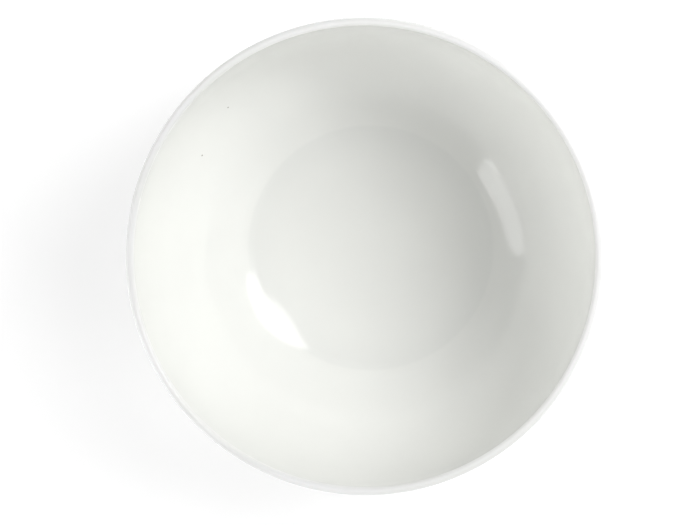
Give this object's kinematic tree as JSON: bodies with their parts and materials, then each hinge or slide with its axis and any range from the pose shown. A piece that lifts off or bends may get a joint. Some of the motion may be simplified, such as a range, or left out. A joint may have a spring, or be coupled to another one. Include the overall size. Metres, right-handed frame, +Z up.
{
  "type": "evaporating dish",
  "caption": "Round glazed porcelain dish with a dished floor, steep rounded wall, full-round lip and bare foot ring, for holding and evaporating liquids.",
  "frame": {"origin": "middle of the plane that the foot ring stands on, under the dish's axis", "axes": "+Z up along the dish's axis, out of its mouth; +X and +Y are any two horizontal directions, because the dish is round"},
  "size_m": [0.15, 0.15, 0.061],
  "materials": {
    "porcelain": "bare fired porcelain, matt and very finely grained, seen only on the foot ring and in the recess inside it",
    "glaze": "smooth clear gloss glaze over white porcelain, very faintly warm, with slight waviness and a few pin specks"
  },
  "bodies": {
    "root": {"porcelain_body": "porcelain", "glaze_coat": "glaze"}
  },
  "joints": []
}
